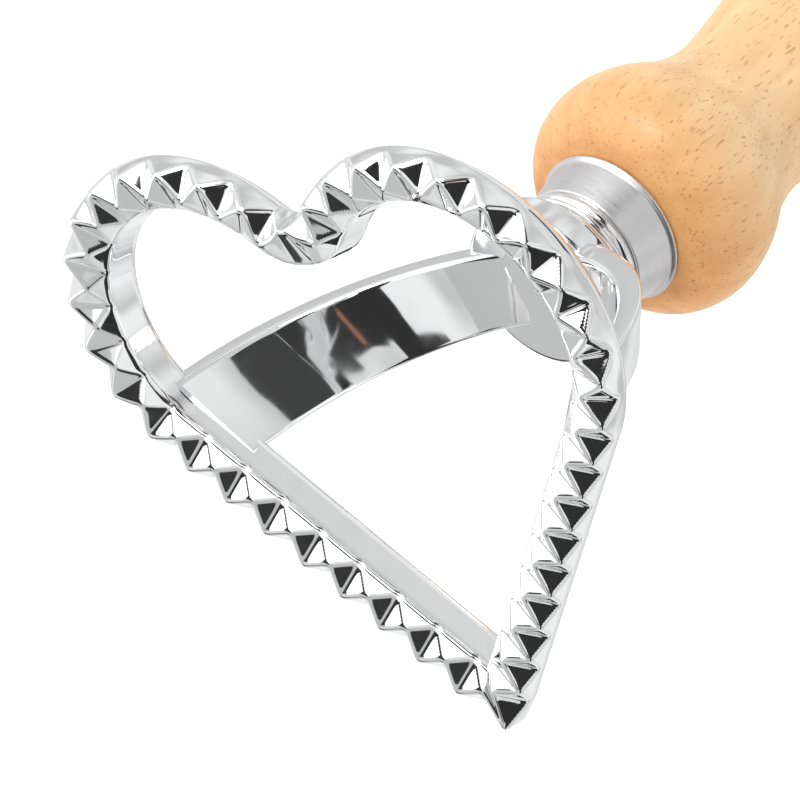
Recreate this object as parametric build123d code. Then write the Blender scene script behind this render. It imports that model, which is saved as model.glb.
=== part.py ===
"""Heart-shaped pastry stamp cutter with a turned wooden handle.

The cutter is one plated casting: a heart-shaped rim with a zigzag edge, a round
arch over its back and a crown disc.  A stud joins it to the handle, with a washer,
a beaded collar and a ferrule between them.

Each piece is drawn in the tool frame: the zigzag edge lies in the plane z = 0, the
handle points up +Z, and the heart's tip is at the origin with its notch towards +Y.
place() then lays the whole tool on one straight side of the heart, with its handle
along +Y of the part frame and the floor at z = 0.
"""
import os
from math import asin, cos, pi, radians, sin

from build123d import *

# ---- driving dimensions, millimetres ----
TOOTH_PITCH = 5.0        # along the rim's centre line
TEETH_PER_HALF = 20      # inner tips from the heart's tip to its notch
TIP_HALF_ANGLE = 42.7    # degrees, a straight side to the heart's own axis
SIDE_LENGTH = 42.6       # straight side, along the centre line
LOBE_R = 17.4
NOTCH_R = 5.0            # the centre line's bend between the lobes
NOTCH_TIP_HALF = 0.8     # half the length of the flattened outer tip in the notch

EDGE_HALF_WIDTH = 1.45   # the zigzag edge swings this far each way
LAND_OUT = 1.8           # outer land, out from the centre line
NOTCH_DEPTH_OUT = 2.15   # outer notches end here, above the edge
LAND_END = 3.4           # the land ends here
NOTCH_IN = 3.3           # inner notches end this far in
NOTCH_DEPTH_IN = 1.4
RIM_HEIGHT = 5.0
BACK_OUT = 0.2           # the rim's back, out and in from the centre line
BACK_IN = 4.1
TIP_BLUNT = 0.8          # the heart's outer tip is this much of a sharp corner

AXIS_Y = 32.5            # the handle's axis, from the heart's tip
ARCH_INNER_HEIGHT = 27.2
ARCH_THICK = 2.6
ARCH_WIDTH = 8.2
ARCH_SPAN_TIP = 21.2     # half span of the arch's edge nearest the heart's tip
ARCH_SPAN_NOTCH = 27.6   # and of its other edge
ARCH_FOOT = 3.2          # the arch's feet start here, inside the rim
CROWN_R = 8.7
CROWN_BASE = 27.0
CROWN_TOP = 30.4
CROWN_EDGE = 0.6         # rounding of the crown disc

BOSS_R = 4.2
BOSS_TOP = 33.8
WASHER_R = 6.6
WASHER_THICK = 0.9
COLLAR_R = 7.4
COLLAR_TOP = 34.2
BEAD_R = 0.75            # how far in from its widest point a bead starts
GROOVE = 0.9             # how far the collar's waist is below its beads
FIT_GAP = 0.05

FERRULE_FRONT_R = 6.9
FERRULE_BACK_R = 7.9
FERRULE_TOP = 39.0
FERRULE_WALL = 0.8
FERRULE_LIP = 0.35       # rolled lip at the wood

STUD_R = 3.0
STUD_BOTTOM = 28.4
STUD_TOP = 64.0
STUD_TIP = 3.0
STUD_THREAD_GROOVES = 7
STUD_GROOVE_DEPTH = 0.35

HANDLE_END = 116.5
# handle outline after the shoulder: height above the edge, radius
HANDLE_OUTLINE = [
    (39.9, 10.0), (42.4, 12.2), (46.0, 12.95), (50.0, 12.1), (54.6, 9.9), (59.8, 8.85),
    (66.5, 9.6), (78.0, 11.5), (92.0, 12.3), (104.0, 11.5), (112.0, 8.9),
]
SHOULDER_R = 8.3
END_ROUND = (6.5, 0, 115.2)   # a point on the rounded end
END_FLAT_R = 3.0         # small flat where the handle was parted off

# ---- the heart's centre line ----
SIDE_HEADING = pi / 2 - radians(TIP_HALF_ANGLE)


def lobe_centre():
    """Centre of the +X lobe, square to the end of the straight side."""
    along, across = cos(SIDE_HEADING), sin(SIDE_HEADING)
    return SIDE_LENGTH * along - LOBE_R * across, SIDE_LENGTH * across + LOBE_R * along


LOBE_X, LOBE_Y = lobe_centre()
LOBE_END_HEADING = pi + asin(LOBE_X / (LOBE_R + NOTCH_R))   # where the notch's bend takes over
NOTCH_Y = LOBE_Y - (LOBE_R + NOTCH_R) * cos(LOBE_END_HEADING)
LOBE_END = SIDE_LENGTH + LOBE_R * (LOBE_END_HEADING - SIDE_HEADING)
HALF_LENGTH = LOBE_END + NOTCH_R * (LOBE_END_HEADING - pi)


def centre_line(distance):
    """Point and heading on the +X half, measured from the heart's tip."""
    if distance <= SIDE_LENGTH:
        return distance * cos(SIDE_HEADING), distance * sin(SIDE_HEADING), SIDE_HEADING
    if distance <= LOBE_END:
        heading = SIDE_HEADING + (distance - SIDE_LENGTH) / LOBE_R
        return LOBE_X + LOBE_R * sin(heading), LOBE_Y - LOBE_R * cos(heading), heading
    heading = LOBE_END_HEADING - (distance - LOBE_END) / NOTCH_R
    return -NOTCH_R * sin(heading), NOTCH_Y + NOTCH_R * cos(heading), heading


def station_distance(steps):
    """Stations are half a pitch apart, except for the last two, at the notch's outer tip."""
    last = 2 * TEETH_PER_HALF + 1
    if steps >= last - 1:
        return HALF_LENGTH - (last - steps) * NOTCH_TIP_HALF
    return steps * TOOTH_PITCH / 2


def rim_point(half_pitches, out, height):
    """A point beside the centre line. Negative half pitches are the -X half."""
    side = 1 if half_pitches >= 0 else -1
    if half_pitches == 0:
        reach = out / cos(SIDE_HEADING)
        return 0.0, -(reach * TIP_BLUNT if out > 0 else reach), height
    x, y, heading = centre_line(station_distance(abs(half_pitches)))
    px = x + out * sin(heading)
    if px <= 0:
        py = -out / cos(SIDE_HEADING) if y < LOBE_Y else y - out * cos(heading)
        return 0.0, py, height
    return side * px, y - out * cos(heading), height


def station(half_pitches):
    """The rim's section at one half pitch: a ridge point and five wall points."""
    outer_tip = half_pitches % 2 == 0 or abs(half_pitches) > 2 * TEETH_PER_HALF
    swing = EDGE_HALF_WIDTH if outer_tip else -EDGE_HALF_WIDTH
    places = [
        (swing, 0.0),
        (LAND_OUT, NOTCH_DEPTH_OUT),
        (LAND_OUT, LAND_END),
        (BACK_OUT, RIM_HEIGHT),
        (-BACK_IN, RIM_HEIGHT),
        (-NOTCH_IN, NOTCH_DEPTH_IN),
    ]
    return [rim_point(half_pitches, out, height) for out, height in places]


def triangle(a, b, c):
    """A planar face, or nothing where the three points don't span one."""
    normal = (Vector(*b) - Vector(*a)).cross(Vector(*c) - Vector(*a))
    if normal.length < 1e-6:
        return []
    return [Face(Wire.make_polygon([a, b, c], close=True))]


def rim():
    """The heart-shaped rim, as facets between neighbouring stations."""
    half = 2 * TEETH_PER_HALF + 1
    count = 2 * half
    stations = [station(index) for index in range(-half, half)]
    faces = []
    for index in range(count):
        a = stations[index]
        b = stations[(index + 1) % count]
        outer_edge_at_a = (index - half) % 2 == 0
        if outer_edge_at_a:
            faces += triangle(a[0], b[0], b[1]) + triangle(a[0], b[1], a[1])
            faces += triangle(a[0], a[5], b[0]) + triangle(a[5], b[5], b[0])
        else:
            faces += triangle(a[0], b[0], a[1]) + triangle(b[0], b[1], a[1])
            faces += triangle(a[0], b[5], b[0]) + triangle(a[0], a[5], b[5])
        for low in range(1, 5):
            faces += triangle(a[low], b[low], b[low + 1]) + triangle(a[low], b[low + 1], a[low + 1])
    return Solid(Shell(faces))


# ---- round pieces ----
def turned(points):
    """A solid of revolution about the handle's axis, from (radius, height) corners."""
    outline = Polyline(*[(radius, 0, height) for radius, height in points], close=True)
    body = revolve(make_face(outline), Axis.Z)
    return Pos(0, AXIS_Y, 0) * body


def arch_core(growth):
    """An elliptic core across the rim. Its width changes from edge to edge of the arch."""
    sections = []
    for side, span in ((-1, ARCH_SPAN_TIP), (1, ARCH_SPAN_NOTCH)):
        ellipse = Ellipse(span + growth, ARCH_INNER_HEIGHT + growth)
        sections.append(Pos(0, AXIS_Y + side * ARCH_WIDTH / 2, 0) * Rot(90, 0, 0) * ellipse)
    return loft(sections)


def arch():
    """Strap over the rim's back. Its edges spread apart to follow the heart's sides."""
    strap = arch_core(ARCH_THICK) - arch_core(0)
    keep = Pos(0, AXIS_Y, ARCH_FOOT) * Box(
        4 * ARCH_SPAN_NOTCH, 2 * ARCH_WIDTH, 2 * ARCH_INNER_HEIGHT,
        align=(Align.CENTER, Align.CENTER, Align.MIN),
    )
    return strap & keep


def crown():
    """Crown disc at the arch's top, with the boss that takes the stud."""
    edge = CROWN_EDGE
    return turned([
        (0, CROWN_BASE), (CROWN_R - edge, CROWN_BASE), (CROWN_R, CROWN_BASE + edge),
        (CROWN_R, CROWN_TOP - edge), (CROWN_R - edge, CROWN_TOP), (BOSS_R, CROWN_TOP),
        (BOSS_R, BOSS_TOP), (0, BOSS_TOP),
    ])


def cutter_casting():
    body = rim() + arch() + crown()
    hole = Pos(0, AXIS_Y, STUD_BOTTOM) * Cylinder(
        STUD_R, BOSS_TOP, align=(Align.CENTER, Align.CENTER, Align.MIN))
    return body - hole


def lock_washer():
    top = CROWN_TOP + WASHER_THICK
    bore = BOSS_R + FIT_GAP
    return turned([(bore, CROWN_TOP), (WASHER_R, CROWN_TOP), (WASHER_R, top), (bore, top)])


def neck_collar():
    """Collar with a bead at each end and a waist between them."""
    bottom = CROWN_TOP + WASHER_THICK
    bore = BOSS_R + FIT_GAP
    waist = COLLAR_R - GROOVE
    middle = (bottom + COLLAR_TOP) / 2
    profile = Line((bore, 0, bottom), (COLLAR_R - BEAD_R, 0, bottom))
    profile += ThreePointArc(
        (COLLAR_R - BEAD_R, 0, bottom), (COLLAR_R, 0, bottom + BEAD_R), (waist, 0, middle))
    profile += ThreePointArc(
        (waist, 0, middle), (COLLAR_R - BEAD_R / 2, 0, COLLAR_TOP - BEAD_R),
        (waist, 0, COLLAR_TOP))
    profile += Polyline((waist, 0, COLLAR_TOP), (bore, 0, COLLAR_TOP), (bore, 0, bottom))
    return Pos(0, AXIS_Y, 0) * revolve(make_face(profile), Axis.Z)


def ferrule_radius(height, inside=False):
    """Outer or inner radius of the ferrule's cone at a height."""
    share = (height - COLLAR_TOP) / (FERRULE_TOP - COLLAR_TOP)
    outer = FERRULE_FRONT_R + share * (FERRULE_BACK_R - FERRULE_FRONT_R)
    return outer - FERRULE_WALL if inside else outer


def ferrule():
    """Thin cone with a closed front, drilled for the stud, and a lip at the wood."""
    web = COLLAR_TOP + FERRULE_WALL
    lip_start = FERRULE_TOP - 2 * FERRULE_LIP
    return turned([
        (STUD_R, COLLAR_TOP), (FERRULE_FRONT_R, COLLAR_TOP),
        (ferrule_radius(lip_start), lip_start),
        (FERRULE_BACK_R + FERRULE_LIP, FERRULE_TOP - FERRULE_LIP),
        (FERRULE_BACK_R, FERRULE_TOP), (ferrule_radius(FERRULE_TOP, True), FERRULE_TOP),
        (ferrule_radius(web, True), web), (STUD_R, web),
    ])


def handle():
    """Turned handle: tenon in the ferrule, bulge, neck, grip and rounded end."""
    web = COLLAR_TOP + FERRULE_WALL
    outline = [(SHOULDER_R, 0, FERRULE_TOP)]
    outline += [(radius, 0, height) for height, radius in HANDLE_OUTLINE]
    profile = Polyline(
        (0, 0, STUD_TOP), (STUD_R, 0, STUD_TOP - STUD_TIP), (STUD_R, 0, web),
        (ferrule_radius(web, True), 0, web), (ferrule_radius(FERRULE_TOP, True), 0, FERRULE_TOP),
        outline[0])
    profile += Spline(*outline)
    profile += ThreePointArc(outline[-1], END_ROUND, (END_FLAT_R, 0, HANDLE_END))
    profile += Polyline((END_FLAT_R, 0, HANDLE_END), (0, 0, HANDLE_END), (0, 0, STUD_TOP))
    return Pos(0, AXIS_Y, 0) * revolve(make_face(profile), Axis.Z)


def handle_stud():
    """Stud between casting and handle, grooved along its wood end."""
    wood_start = COLLAR_TOP + FERRULE_WALL
    grip_end = STUD_TOP - STUD_TIP
    step = (grip_end - wood_start) / (STUD_THREAD_GROOVES + 1)
    points = [(0, STUD_BOTTOM), (STUD_R, STUD_BOTTOM), (STUD_R, wood_start)]
    for index in range(1, STUD_THREAD_GROOVES + 1):
        height = wood_start + index * step
        points += [
            (STUD_R, height - step / 4), (STUD_R - STUD_GROOVE_DEPTH, height),
            (STUD_R, height + step / 4)]
    return turned(points + [(STUD_R, grip_end), (0, STUD_TOP)])


# ---- the part frame ----
PIECES = {
    "cutter_casting": cutter_casting,
    "lock_washer": lock_washer,
    "neck_collar": neck_collar,
    "ferrule": ferrule,
    "handle_stud": handle_stud,
    "handle": handle,
}


def place(pieces):
    """Lay the tool on one straight side, handle along +Y, box centred over the origin."""
    lean = radians(TIP_HALF_ANGLE)
    lying = Plane(origin=(0, 0, LAND_OUT), x_dir=(-sin(lean), 0, -cos(lean)), z_dir=(0, 1, 0))
    laid = {name: lying.location * piece for name, piece in pieces.items()}
    boxes = [piece.bounding_box() for piece in laid.values()]
    middle_x = (min(box.min.X for box in boxes) + max(box.max.X for box in boxes)) / 2
    middle_y = (min(box.min.Y for box in boxes) + max(box.max.Y for box in boxes)) / 2
    shift = Pos(-middle_x, -middle_y, 0)
    return {name: shift * piece for name, piece in laid.items()}


def main():
    os.makedirs("parts", exist_ok=True)
    placed = place({name: make() for name, make in PIECES.items()})
    for name, piece in placed.items():
        export_step(piece, f"parts/{name}.step")
        box = piece.bounding_box()
        print(name, "volume", round(piece.volume, 1), "min", box.min, "max", box.max)
    print("rim, tip to notch along the centre line", HALF_LENGTH)


if __name__ == "__main__":
    main()
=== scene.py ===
"""Looks of a heart-shaped pastry stamp cutter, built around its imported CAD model.

The shapes are drawn in the tool frame, in millimetres: the zigzag edge lies in the
plane z = 0, the handle points up +Z, the heart's tip is at the origin and its notch
is towards +Y.  TOOL takes them to the frame that the CAD model lies in, in metres.
"""
from math import asin, cos, pi, radians, sin

import bpy
import numpy as np
from mathutils import Matrix, Vector


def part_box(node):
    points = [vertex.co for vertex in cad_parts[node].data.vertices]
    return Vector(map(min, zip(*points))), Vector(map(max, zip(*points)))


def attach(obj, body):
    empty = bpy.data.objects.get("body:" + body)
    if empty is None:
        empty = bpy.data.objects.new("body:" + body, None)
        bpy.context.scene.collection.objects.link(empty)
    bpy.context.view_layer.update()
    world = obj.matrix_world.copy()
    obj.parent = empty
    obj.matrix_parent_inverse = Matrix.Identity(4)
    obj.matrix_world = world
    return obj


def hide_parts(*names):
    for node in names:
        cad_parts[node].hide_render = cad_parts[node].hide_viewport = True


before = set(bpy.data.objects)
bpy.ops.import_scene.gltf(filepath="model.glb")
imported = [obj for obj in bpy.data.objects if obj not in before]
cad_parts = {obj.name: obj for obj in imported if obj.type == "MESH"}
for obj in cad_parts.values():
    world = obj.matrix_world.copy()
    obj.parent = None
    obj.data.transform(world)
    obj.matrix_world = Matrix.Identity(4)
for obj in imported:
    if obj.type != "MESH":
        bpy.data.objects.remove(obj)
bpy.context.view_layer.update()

# ---- the heart's centre line, millimetres ----
TOOTH_PITCH = 5.0
TEETH_PER_HALF = 20
TIP_HALF_ANGLE = radians(42.7)
SIDE_LENGTH = 42.6
LOBE_R = 17.4
NOTCH_R = 5.0
NOTCH_TIP_HALF = 0.8     # half the length of the flattened outer tip in the notch
SIDE_HEADING = pi / 2 - TIP_HALF_ANGLE
LOBE_X = SIDE_LENGTH * cos(SIDE_HEADING) - LOBE_R * sin(SIDE_HEADING)
LOBE_Y = SIDE_LENGTH * sin(SIDE_HEADING) + LOBE_R * cos(SIDE_HEADING)
LOBE_END_HEADING = pi + asin(LOBE_X / (LOBE_R + NOTCH_R))
NOTCH_Y = LOBE_Y - (LOBE_R + NOTCH_R) * cos(LOBE_END_HEADING)
LOBE_END = SIDE_LENGTH + LOBE_R * (LOBE_END_HEADING - SIDE_HEADING)
HALF_LENGTH = LOBE_END + NOTCH_R * (LOBE_END_HEADING - pi)
LAST_STATION = 2 * TEETH_PER_HALF + 1

# ---- the rim's section: how far out from the centre line, height above the edge ----
EDGE_HALF_WIDTH = 1.45
OUTER_NOTCH_END = (1.8, 2.15)
LAND_END = (1.8, 3.4)
BACK_OUT = (0.2, 5.0)
BACK_IN = (-4.1, 5.0)
INNER_NOTCH_END = (-3.3, 1.4)
TIP_BLUNT = 0.8

# ---- arch, crown and the round pieces ----
AXIS_Y = 32.5
ARCH_HEIGHT = 27.2
ARCH_THICK = 2.6
ARCH_WIDTH = 8.2
ARCH_SPAN_TIP = 21.2
ARCH_SPAN_NOTCH = 27.6
ARCH_FOOT = 3.2
ARCH_ROUNDING = 0.55
CROWN_R = 8.7
CROWN_BASE = 27.0
CROWN_TOP = 30.4
BOSS_R = 4.2
BOSS_TOP = 33.8
WASHER_R = 6.6
WASHER_TOP = 31.3
COLLAR_R = 7.4
COLLAR_TOP = 34.2
COLLAR_WAIST_R = 6.5
COLLAR_WAIST_HEIGHT = 32.75
BEAD_STEP = 0.375        # the second bead is this much smaller
FERRULE_FRONT_R = 6.9
FERRULE_BACK_R = 7.9
FERRULE_TOP = 39.0
FERRULE_WALL = 0.8
FERRULE_WEB_TOP = COLLAR_TOP + FERRULE_WALL   # the closed front's inner face
FERRULE_WEB_R = 6.3
LIP_START = (38.3, 7.76)   # height above the edge, radius
LIP_CREST = (38.65, 8.2)
LIP_END_R = 8.1
TENON_GAP = 0.05         # between the ferrule's closed front and the wood
TENON_FRONT_R = 6.2
TENON_BACK_R = 7.0
SHOULDER_R = 7.7
STUD_R = 3.0
STUD_BOTTOM = 28.4
STUD_TOP = 64.0
STUD_TIP_LENGTH = 3.0
AXIS_R = 0.02            # outlines that reach the axis stop this far from it
CROWN_ROUNDING = 0.6
WASHER_ROUNDING = 0.2
FERRULE_ROUNDING = 0.22
HANDLE_END = 116.5
# handle outline after the shoulder: height above the edge, radius
HANDLE_OUTLINE = [
    (39.15, 8.35), (39.9, 10.0), (42.4, 12.2), (46.0, 12.95), (50.0, 12.1), (54.6, 9.9),
    (59.8, 8.85), (66.5, 9.6), (78.0, 11.5), (92.0, 12.3), (104.0, 11.5), (112.0, 8.9),
    (115.2, 6.2), (116.45, 3.0),
]

# ---- where the tool lies ----
MM = 0.001
handle_low, handle_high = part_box("handle")
front_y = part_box("cutter_casting")[0].y
ACROSS = Vector((-sin(TIP_HALF_ANGLE), 0, -cos(TIP_HALF_ANGLE)))
TO_NOTCH = Vector((-cos(TIP_HALF_ANGLE), 0, sin(TIP_HALF_ANGLE)))
TO_HANDLE = Vector((0, 1, 0))
AXIS_FRONT = Vector(((handle_low.x + handle_high.x) / 2, front_y, (handle_low.z + handle_high.z) / 2))
# the wood's base colour is darker at the shoulder, next to the ferrule, and this fades out between
# these two places along the handle
SHOULDER_Y = handle_low.y + 0.004
BULGE_Y = handle_low.y + 0.014
TOOL = Matrix.Translation(AXIS_FRONT - TO_NOTCH * AXIS_Y * MM) @ Matrix(
    (ACROSS, TO_NOTCH, TO_HANDLE)).transposed().to_4x4() @ Matrix.Scale(MM, 4)


# ---- camera ----
CAMERA_AZIMUTH = radians(20.8459)      # from -Y towards +X
CAMERA_ELEVATION = radians(50.2344)
CAMERA_ROLL = radians(23.1154)
CAMERA_DISTANCE = 1.15632             # metres
LENS, SENSOR_WIDTH = 540, 36          # millimetres
# metres from where the handle's axis meets the edge's plane to the aim, as the camera sees them
AIM_RIGHT, AIM_UP = 0.00295, 0.00321


def make_camera():
    """A long lens in front of the tool and above it, turned about its own axis."""
    data = bpy.data.cameras.new("camera")
    data.lens, data.sensor_width = LENS, SENSOR_WIDTH
    data.clip_start, data.clip_end = 0.01, 10
    camera = bpy.data.objects.new("camera", data)
    bpy.context.scene.collection.objects.link(camera)
    back = Vector((
        sin(CAMERA_AZIMUTH) * cos(CAMERA_ELEVATION), -cos(CAMERA_AZIMUTH) * cos(CAMERA_ELEVATION),
        sin(CAMERA_ELEVATION)))
    level = Vector((cos(CAMERA_AZIMUTH), sin(CAMERA_AZIMUTH), 0))
    upright = back.cross(level)
    right = level * cos(CAMERA_ROLL) + upright * sin(CAMERA_ROLL)
    up = upright * cos(CAMERA_ROLL) - level * sin(CAMERA_ROLL)
    turn = Matrix((right, up, back)).transposed().to_4x4()
    aim = AXIS_FRONT + right * AIM_RIGHT + up * AIM_UP
    camera.matrix_world = Matrix.Translation(aim + back * CAMERA_DISTANCE) @ turn
    bpy.context.scene.camera = camera


# ---- meshes ----
def mesh_piece(name, points, faces, slot, node, material, sharp=40):
    """A smooth-shaded piece from tool-frame points, riding on the tool."""
    mesh = bpy.data.meshes.new(name)
    mesh.from_pydata([TOOL @ Vector(point) for point in points], [], faces)
    mesh.validate()
    mesh.shade_smooth()
    mesh.set_sharp_from_angle(angle=radians(sharp))
    mesh.materials.append(material)
    piece = bpy.data.objects.new(name, mesh)
    bpy.context.scene.collection.objects.link(piece)
    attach(piece, "root")
    if node:
        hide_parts(node)
    return piece


def grid_faces(rows, columns, close_rows, close_columns):
    """Quads of a grid of points, stored row by row."""
    faces = []
    for row in range(rows if close_rows else rows - 1):
        for column in range(columns if close_columns else columns - 1):
            below, beside = (row + 1) % rows, (column + 1) % columns
            faces.append((
                row * columns + column, row * columns + beside,
                below * columns + beside, below * columns + column))
    return faces


def lathe(name, outline, slot, node, material, turns=144, closed=False):
    """A turned piece from (height, radius) points, closed or from axis to axis."""
    points = []
    for height, radius in outline:
        for step in range(turns):
            angle = 2 * pi * step / turns
            points.append((radius * cos(angle), AXIS_Y + radius * sin(angle), height))
    faces = grid_faces(len(outline), turns, closed, True)
    if not closed:
        last = (len(outline) - 1) * turns
        faces.append(tuple(reversed(range(turns))))
        faces.append(tuple(range(last, last + turns)))
    return mesh_piece(name, points, faces, slot, node, material)


CORNER_SHARE = 0.45      # a rounded corner takes at most this share of the sides beside it


def rounded(outline, radius, steps=5):
    """A closed outline with its corners rounded by quadratic curves."""
    result = []
    count = len(outline)
    for index, corner in enumerate(outline):
        here = Vector(corner)
        before, after = Vector(outline[index - 1]), Vector(outline[(index + 1) % count])
        reach_in = min(radius, (before - here).length * CORNER_SHARE)
        reach_out = min(radius, (after - here).length * CORNER_SHARE)
        start = here + (before - here).normalized() * reach_in
        end = here + (after - here).normalized() * reach_out
        for step in range(steps + 1):
            share = step / steps
            point = start.lerp(here, share).lerp(here.lerp(end, share), share)
            result.append(tuple(point))
    return result


def bead(start, end, radius, steps=20):
    """Outline points of a round bead between two heights, rising from the collar's waist."""
    return [
        (start + (end - start) * step / steps,
         COLLAR_WAIST_R + (radius - COLLAR_WAIST_R) * sin(pi * step / steps))
        for step in range(steps + 1)]


def smooth_line(points, steps):
    """A Catmull-Rom curve through the points."""
    ends = [points[0]] + list(points) + [points[-1]]
    result = []
    for index in range(1, len(ends) - 2):
        a, b, c, d = (np.array(ends[index + offset]) for offset in (-1, 0, 1, 2))
        for step in range(steps):
            t = step / steps
            result.append(tuple(0.5 * (
                2 * b + (c - a) * t + (2 * a - 5 * b + 4 * c - d) * t ** 2
                + (3 * b - a - 3 * c + d) * t ** 3)))
    return result + [points[-1]]


# ---- the rim ----
CELLS = 10               # grid cells along each half pitch
WALL_CELLS = (10, 4, 6, 8, 9, 10)   # and across each wall of the section
ROUNDING_PASSES = 1


def centre_line(distance):
    """Point and heading on the +X half, measured from the heart's tip."""
    if distance <= SIDE_LENGTH:
        return distance * cos(SIDE_HEADING), distance * sin(SIDE_HEADING), SIDE_HEADING
    if distance <= LOBE_END:
        heading = SIDE_HEADING + (distance - SIDE_LENGTH) / LOBE_R
        return LOBE_X + LOBE_R * sin(heading), LOBE_Y - LOBE_R * cos(heading), heading
    heading = LOBE_END_HEADING - (distance - LOBE_END) / NOTCH_R
    return -NOTCH_R * sin(heading), NOTCH_Y + NOTCH_R * cos(heading), heading


def station_distance(steps):
    """Distance from the heart's tip to a half-pitch station, or to a place between two.

    The last two stations are the end and the middle of the notch's flattened outer tip.
    """
    before_tip = LAST_STATION - 2
    places = [before_tip * TOOTH_PITCH / 2, HALF_LENGTH - NOTCH_TIP_HALF, HALF_LENGTH]
    if steps <= before_tip:
        return steps * TOOTH_PITCH / 2
    return float(np.interp(steps, [before_tip, before_tip + 1, LAST_STATION], places))


def rim_point(half_pitches, out, height):
    """A point beside the centre line. Negative half pitches are the -X half."""
    side = 1 if half_pitches >= 0 else -1
    if half_pitches == 0:
        reach = out / cos(SIDE_HEADING)
        return np.array((0.0, -(reach * TIP_BLUNT if out > 0 else reach), height))
    x, y, heading = centre_line(station_distance(abs(half_pitches)))
    px, py = x + out * sin(heading), y - out * cos(heading)
    if px <= 0:
        return np.array((0.0, -out / cos(SIDE_HEADING) if y < LOBE_Y else py, height))
    return np.array((side * px, py, height))


def section_corners(half_pitch):
    """The rim's section at one half pitch: the ridge, and then round the walls."""
    outer_tip = half_pitch % 2 == 0 or abs(half_pitch) == LAST_STATION
    swing = EDGE_HALF_WIDTH if outer_tip else -EDGE_HALF_WIDTH
    return [
        (swing, 0.0), OUTER_NOTCH_END, LAND_END, BACK_OUT, BACK_IN, INNER_NOTCH_END,
    ]


def rim_patch(half_pitch, side):
    """Grid points of one side of the section, over one half pitch."""
    here, ahead = section_corners(half_pitch), section_corners(half_pitch + 1)
    after = (side + 1) % len(here)
    at_corner = half_pitch in (-1, 0)
    corners = [
        (half_pitch, *here[side]), (half_pitch + 1, *ahead[side]),
        (half_pitch, *here[after]), (half_pitch + 1, *ahead[after]),
    ]
    if at_corner:
        corners = [rim_point(*corner) for corner in corners]
    a, b, c, d = (np.array(corner, float) for corner in corners)
    # the facets meet on the diagonal that leaves the edge's outer swing
    from_here = (half_pitch % 2 == 0) if side == 0 else (half_pitch % 2 != 0)
    if side == len(here) - 1:
        from_here = half_pitch % 2 == 0
    patch = []
    for along in range(CELLS):
        f = along / CELLS
        line = []
        for across in range(WALL_CELLS[side]):
            g = across / WALL_CELLS[side]
            if from_here:
                point = a + f * (b - a) + g * (d - b) if g <= f else a + g * (c - a) + f * (d - c)
            else:
                point = (
                    a + f * (b - a) + g * (c - a) if f + g <= 1
                    else d + (1 - f) * (c - d) + (1 - g) * (b - d))
            line.append(point if at_corner else rim_point(*point))
        patch.append(line)
    return np.array(patch)


def rim():
    """The heart-shaped rim as one closed grid, with its ridges lightly rounded."""
    strips = []
    for half_pitch in range(-LAST_STATION, LAST_STATION):
        strips.append(np.concatenate(
            [rim_patch(half_pitch, side) for side in range(len(WALL_CELLS))], axis=1))
    grid = np.concatenate(strips, axis=0)
    for _ in range(ROUNDING_PASSES):
        for axis in (0, 1):
            grid = grid / 2 + (np.roll(grid, 1, axis) + np.roll(grid, -1, axis)) / 4
    rows, columns = grid.shape[:2]
    return grid.reshape(-1, 3), grid_faces(rows, columns, True, True)


# ---- the arch ----
ARCH_STEPS = 120


def arch():
    """Strap over the rim's back, with rounded edges. It spans wider on the notch's side."""
    half = ARCH_WIDTH / 2
    section = rounded([(-half, 0), (half, 0), (half, ARCH_THICK), (-half, ARCH_THICK)], ARCH_ROUNDING)
    points = []
    for step in range(ARCH_STEPS + 1):
        for across, out in section:
            share = (across + half) / ARCH_WIDTH
            span = ARCH_SPAN_TIP + share * (ARCH_SPAN_NOTCH - ARCH_SPAN_TIP)
            foot = asin(ARCH_FOOT / (ARCH_HEIGHT + out))
            angle = foot + (pi - 2 * foot) * step / ARCH_STEPS
            points.append((
                (span + out) * cos(angle), AXIS_Y + across, (ARCH_HEIGHT + out) * sin(angle)))
    count = len(section)
    faces = grid_faces(ARCH_STEPS + 1, count, False, True)
    faces.append(tuple(reversed(range(count))))
    faces.append(tuple(range(ARCH_STEPS * count, (ARCH_STEPS + 1) * count)))
    return points, faces


# ---- materials ----
# base colours, linear
CHROME_COLOUR = (0.90, 0.905, 0.91)
COLLAR_COLOUR = (0.86, 0.86, 0.87)
FERRULE_COLOUR = (0.70, 0.70, 0.71)
STEEL_COLOUR = (0.62, 0.63, 0.64)
WOOD_DARK, WOOD_MIDDLE, WOOD_LIGHT = (0.78, 0.46, 0.20), (0.87, 0.57, 0.29), (0.93, 0.67, 0.39)
# tints that darken the wood's base colour
STREAK_TINT = (0.86, 0.79, 0.70)
PORE_TINT = (0.62, 0.44, 0.30)
SHOULDER_TINT = (0.82, 0.59, 0.37)
# noise scales, in cells per metre
HAZE_SCALE, WAVE_SCALE = 260, 210
RING_SCALE = 9000
GRAIN_SCALE, BROAD_SCALE, PORE_SCALE = 420, 75, 3600
# stretches of the noise: a small factor draws it out along that axis
EVEN = (1, 1, 1)
ROUND_THE_AXIS = (0.04, 1, 0.04)
GRAIN_STRETCH, BROAD_STRETCH, PORE_STRETCH = (1, 0.07, 1), (1, 0.16, 1), (1, 0.13, 1)
# bump distances, metres
WAVE_HEIGHT, RING_HEIGHT, PORE_DEPTH = 0.00006, 0.00002, 0.00005


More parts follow.
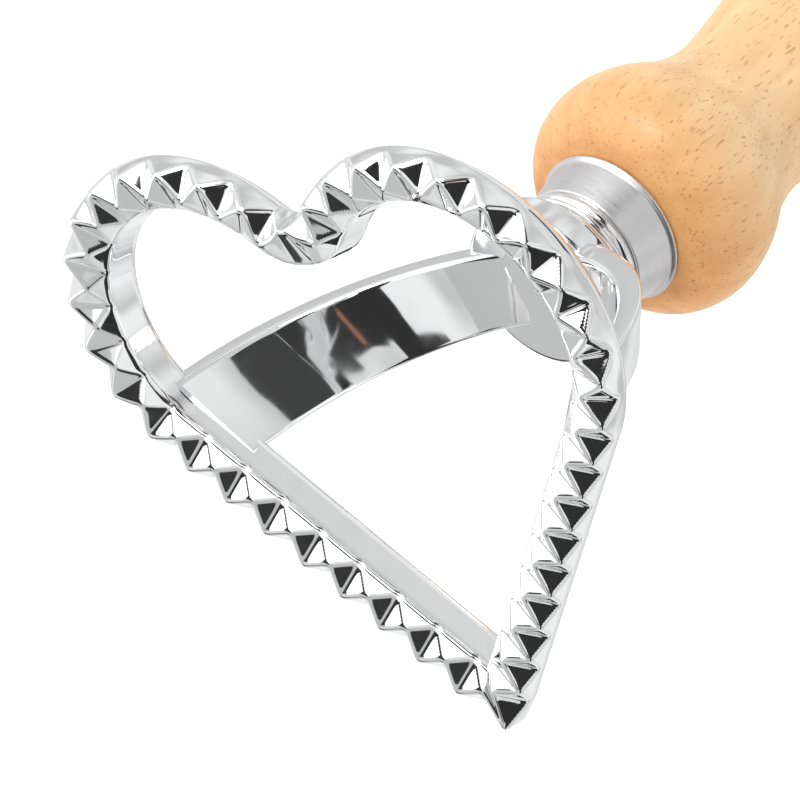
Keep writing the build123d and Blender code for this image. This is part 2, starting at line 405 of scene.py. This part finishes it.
class Shader:
    """A node material with a Principled surface."""

    def __init__(self, name, **values):
        self.material = bpy.data.materials.new(name)
        self.material.use_nodes = True
        self.tree = self.material.node_tree
        self.surface = self.tree.nodes["Principled BSDF"]
        for socket, value in values.items():
            self.surface.inputs[socket.replace("_", " ")].default_value = value
        self.place = self.tree.nodes.new("ShaderNodeTexCoord").outputs["Object"]

    def node(self, kind, **links):
        node = self.tree.nodes.new(kind)
        for socket, source in links.items():
            self.link(source, node.inputs[socket.replace("_", " ")])
        return node

    def link(self, source, socket):
        if isinstance(source, bpy.types.NodeSocket):
            self.tree.links.new(source, socket)
        else:
            socket.default_value = source

    def noise(self, stretch, scale, detail=3.0):
        mapping = self.node("ShaderNodeMapping", Vector=self.place, Scale=stretch)
        noise = self.node(
            "ShaderNodeTexNoise", Vector=mapping.outputs[0], Scale=scale, Detail=detail)
        return noise.outputs["Fac"]

    def ramp(self, factor, *stops):
        node = self.node("ShaderNodeValToRGB", Fac=factor)
        while len(node.color_ramp.elements) < len(stops):
            node.color_ramp.elements.new(0.5)
        for element, (position, colour) in zip(node.color_ramp.elements, stops):
            element.position, element.color = position, (*colour, 1)
        return node.outputs["Color"]

    def multiply(self, first, second, share=1.0):
        node = self.tree.nodes.new("ShaderNodeMix")
        node.data_type, node.blend_type = "RGBA", "MULTIPLY"
        node.inputs[0].default_value = share
        self.tree.links.new(first, node.inputs[6])
        self.tree.links.new(second, node.inputs[7])
        return node.outputs[2]

    def bump(self, height, distance, strength=1.0):
        node = self.node("ShaderNodeBump", Height=height, Distance=distance, Strength=strength)
        self.tree.links.new(node.outputs[0], self.surface.inputs["Normal"])


def grey(value):
    return (value, value, value)


def chrome(name, colour):
    """Bright plating over a casting: faint waves, and faint haze."""
    shader = Shader(name, Metallic=1.0, Base_Color=(*colour, 1))
    haze = shader.ramp(shader.noise(EVEN, HAZE_SCALE), (0.35, grey(0.035)), (0.75, grey(0.10)))
    shader.link(haze, shader.surface.inputs["Roughness"])
    shader.bump(shader.noise(EVEN, WAVE_SCALE, 1.0), WAVE_HEIGHT, 0.5)
    return shader.material


def satin(name, colour):
    """Turned metal: fine rings about the handle's axis."""
    shader = Shader(name, Metallic=1.0, Base_Color=(*colour, 1))
    rings = shader.noise(ROUND_THE_AXIS, RING_SCALE, 2.0)
    shader.link(
        shader.ramp(rings, (0.3, grey(0.26)), (0.7, grey(0.42))), shader.surface.inputs["Roughness"])
    shader.bump(rings, RING_HEIGHT, 0.6)
    return shader.material


def wood(name):
    """Light orange-tan wood: broad grain, short dark pores, and a base colour darker at the shoulder,
    next to the ferrule.
    """
    shader = Shader(name, Coat_Weight=0.12, Coat_Roughness=0.25)
    grain = shader.noise(GRAIN_STRETCH, GRAIN_SCALE, 5.0)
    broad = shader.noise(BROAD_STRETCH, BROAD_SCALE, 3.0)
    pores = shader.noise(PORE_STRETCH, PORE_SCALE, 1.0)
    place = shader.node("ShaderNodeSeparateXYZ", Vector=shader.place)
    along = shader.node(
        "ShaderNodeMapRange", Value=place.outputs["Y"], From_Min=SHOULDER_Y, From_Max=BULGE_Y)
    # the base colour is darkened towards the ferrule, fading out along the handle
    front = shader.ramp(along.outputs[0], (0.0, SHOULDER_TINT), (1.0, grey(1.0)))
    tone = shader.ramp(broad, (0.3, WOOD_DARK), (0.5, WOOD_MIDDLE), (0.72, WOOD_LIGHT))
    streaks = shader.ramp(grain, (0.32, STREAK_TINT), (0.6, grey(1.0)))
    dashes = shader.ramp(pores, (0.29, PORE_TINT), (0.37, grey(1.0)))
    colour = shader.multiply(shader.multiply(tone, streaks, 0.8), dashes, 0.7)
    colour = shader.multiply(colour, front)
    shader.link(colour, shader.surface.inputs["Base Color"])
    shader.link(
        shader.ramp(grain, (0.3, grey(0.52)), (0.7, grey(0.40))), shader.surface.inputs["Roughness"])
    shader.bump(pores, PORE_DEPTH, 0.35)
    return shader.material


# ---- the pieces ----
def build_tool():
    """The casting in three meshes, and one mesh for each other piece."""
    cutter = chrome("cutter_chrome", CHROME_COLOUR)
    bright = chrome("collar_chrome", COLLAR_COLOUR)
    brushed = satin("satin_steel", FERRULE_COLOUR)
    steel = satin("bright_steel", STEEL_COLOUR)
    slot = "cutter_chrome"
    mesh_piece("cutter_rim", *rim(), slot, "cutter_casting", cutter, sharp=70)
    mesh_piece("cutter_arch", *arch(), slot, "cutter_casting", cutter)
    crown = rounded([
        (CROWN_BASE, AXIS_R), (CROWN_BASE, CROWN_R), (CROWN_TOP, CROWN_R), (CROWN_TOP, BOSS_R),
        (BOSS_TOP, BOSS_R), (BOSS_TOP, STUD_R), (STUD_BOTTOM, STUD_R), (STUD_BOTTOM, AXIS_R)],
        CROWN_ROUNDING)
    lathe("cutter_crown", crown, slot, "cutter_casting", cutter, closed=True)
    washer = rounded([
        (CROWN_TOP, BOSS_R), (CROWN_TOP, WASHER_R), (WASHER_TOP, WASHER_R), (WASHER_TOP, BOSS_R)],
        WASHER_ROUNDING)
    lathe("lock_washer_ring", washer, "bright_steel", "lock_washer", steel, closed=True)
    collar = [(COLLAR_TOP, BOSS_R), (WASHER_TOP, BOSS_R)]
    collar += bead(WASHER_TOP, COLLAR_WAIST_HEIGHT, COLLAR_R)
    collar += bead(COLLAR_WAIST_HEIGHT, COLLAR_TOP, COLLAR_R - BEAD_STEP)
    lathe("neck_collar_ring", collar, "collar_chrome", "neck_collar", bright, closed=True)
    ferrule = rounded([
        (COLLAR_TOP, STUD_R), (COLLAR_TOP, FERRULE_FRONT_R), LIP_START, LIP_CREST,
        (FERRULE_TOP, LIP_END_R), (FERRULE_TOP, FERRULE_BACK_R - FERRULE_WALL),
        (FERRULE_WEB_TOP, FERRULE_WEB_R), (FERRULE_WEB_TOP, STUD_R)], FERRULE_ROUNDING)
    lathe("ferrule_cone", ferrule, "satin_steel", "ferrule", brushed, closed=True)
    stud = [
        (STUD_BOTTOM, AXIS_R), (STUD_BOTTOM, STUD_R), (STUD_TOP - STUD_TIP_LENGTH, STUD_R),
        (STUD_TOP, AXIS_R)]
    lathe("handle_stud_rod", stud, "bright_steel", "handle_stud", steel, turns=48)
    tenon_front = FERRULE_WEB_TOP + TENON_GAP
    body = [
        (tenon_front, AXIS_R), (tenon_front, TENON_FRONT_R), (FERRULE_TOP, TENON_BACK_R),
        (FERRULE_TOP, SHOULDER_R)]
    body += smooth_line(HANDLE_OUTLINE, 14) + [(HANDLE_END, AXIS_R)]
    lathe("handle_wood", body, "handle_wood", "handle", wood("handle_wood"), turns=192)


# ---- surroundings ----
CARDS_CENTRE = Vector((0.0, -0.045, 0.03))
FLOOR_HALF_WIDTH = 3.0
FLOOR_GREY, FLOOR_GLOW = 0.93, 0.62
CARD_DISTANCE = 2.0
FLAG_DISTANCE = 1.8      # dark flags hang in front of the grey and bright cards
STRIP_DISTANCE = 1.6     # two strips hang in front of the flags
CARD_GLOW = 1.1
CLOUD_SCALE, CLOUD_DETAIL = 2.6, 1.0
CLOUD_RANGE = (0.36, 0.64)     # of the noise
CLOUD_LIGHT = (0.60, 0.95)     # the background's strength at that range's ends
KEY_PLACE, KEY_SIZE, KEY_POWER = (-0.5, -0.35, 0.75), 0.4, 5.0


def plain_material(name, colour, glow=0.0):
    """A matt material, which may glow in its own colour."""
    shader = Shader(name, Base_Color=(*colour, 1), Roughness=0.9)
    shader.surface.inputs["Emission Color"].default_value = (*colour, 1)
    shader.surface.inputs["Emission Strength"].default_value = glow
    return shader.material


def stage_mesh(name, points, faces, material):
    """A mesh that isn't part of the object."""
    mesh = bpy.data.meshes.new(name)
    mesh.from_pydata(points, [], faces)
    mesh.materials.append(material)
    thing = bpy.data.objects.new(name, mesh)
    bpy.context.scene.collection.objects.link(thing)
    return thing


def card(name, azimuths, elevations, colour, glow=0.0, distance=FLAG_DISTANCE, steps=16):
    """A far patch that only reflections show. Azimuth 0 is towards -Y, and 90 towards +X."""
    points = []
    for row in range(steps + 1):
        elevation = radians(elevations[0] + (elevations[1] - elevations[0]) * row / steps)
        for column in range(steps + 1):
            azimuth = radians(azimuths[0] + (azimuths[1] - azimuths[0]) * column / steps)
            points.append(CARDS_CENTRE + distance * Vector((
                sin(azimuth) * cos(elevation), -cos(azimuth) * cos(elevation), sin(elevation))))
    thing = stage_mesh(
        name, points, grid_faces(steps + 1, steps + 1, False, False),
        plain_material(name, colour, glow))
    thing.visible_camera = False
    thing.visible_diffuse = False
    thing.visible_shadow = False
    thing.visible_transmission = False


def area_light(name, place, target, size, power):
    """A square light aimed at the target."""
    data = bpy.data.lights.new(name, "AREA")
    data.size, data.energy = size, power
    light = bpy.data.objects.new(name, data)
    bpy.context.scene.collection.objects.link(light)
    light.location = place
    light.rotation_euler = (Vector(target) - Vector(place)).to_track_quat("-Z", "Y").to_euler()


def cloudy_world():
    """A light background that varies softly, so that curved chrome shows gradients."""
    world = bpy.data.worlds.new("studio")
    world.use_nodes = True
    tree = world.node_tree
    tree.nodes["Background"].inputs["Color"].default_value = (1, 1, 1, 1)
    place = tree.nodes.new("ShaderNodeTexCoord").outputs["Generated"]
    cloud = tree.nodes.new("ShaderNodeTexNoise")
    cloud.inputs["Scale"].default_value = CLOUD_SCALE
    cloud.inputs["Detail"].default_value = CLOUD_DETAIL
    shade = tree.nodes.new("ShaderNodeMapRange")
    shade.inputs["From Min"].default_value, shade.inputs["From Max"].default_value = CLOUD_RANGE
    shade.inputs["To Min"].default_value, shade.inputs["To Max"].default_value = CLOUD_LIGHT
    tree.links.new(place, cloud.inputs["Vector"])
    tree.links.new(cloud.outputs["Fac"], shade.inputs["Value"])
    tree.links.new(shade.outputs["Result"], tree.nodes["Background"].inputs["Strength"])
    bpy.context.scene.world = world


def build_surroundings():
    """The world, a floor that reflections don't see, cards that only they see, and a light."""
    cloudy_world()
    half = FLOOR_HALF_WIDTH
    floor = stage_mesh(
        "floor", [(-half, -half, 0), (half, -half, 0), (half, half, 0), (-half, half, 0)],
        [(0, 1, 2, 3)], plain_material("floor", grey(FLOOR_GREY), FLOOR_GLOW))
    floor.visible_glossy = False
    black = grey(0.012)
    # four flags in a row, from high in front of the tool down to low on its right
    card("flag_front_left", (-24, 16), (29, 44), black)
    card("flag_front_high", (15, 58), (14, 41), black)
    card("flag_front_middle", (30, 67), (-13, 14), black)
    card("flag_front_low", (46, 76), (-50, -13), black)
    card("flag_overhead", (-180, 180), (79, 90), grey(0.03))
    card("flag_overhead_front", (-35, 22), (62, 79), grey(0.02))
    card("flag_arch", (-3, 17), (44, 62), black)
    # low dark strips, in front of the tool and under it
    card("strip_low_left", (-37, -11), (-29, -8), grey(0.02))
    card("strip_low_middle", (11, 25), (-30, -12), grey(0.02))
    card("strip_under", (-42, -6), (-80, -60), grey(0.03))
    # a dark flag behind the tool, two thin strips in front of other flags, and lighter cards
    card("flag_back", (156, 188), (28, 43), grey(0.03))
    card("warm_strip", (-3, 15), (53, 55), (0.26, 0.12, 0.07), distance=STRIP_DISTANCE)
    card("grey_strip", (-10, 12), (66, 69), grey(0.22), distance=STRIP_DISTANCE)
    card("grey_low_front", (-25, 35), (-60, -5), grey(0.50), distance=CARD_DISTANCE)
    card("bright_low", (-60, -38), (-52, -12), grey(1.0), CARD_GLOW, distance=CARD_DISTANCE)
    card("bright_front", (-75, -8), (-2, 58), grey(1.0), CARD_GLOW, distance=CARD_DISTANCE)
    area_light("key", KEY_PLACE, CARDS_CENTRE, KEY_SIZE, KEY_POWER)
    bpy.context.scene.view_settings.view_transform = "Standard"


make_camera()
build_tool()
build_surroundings()
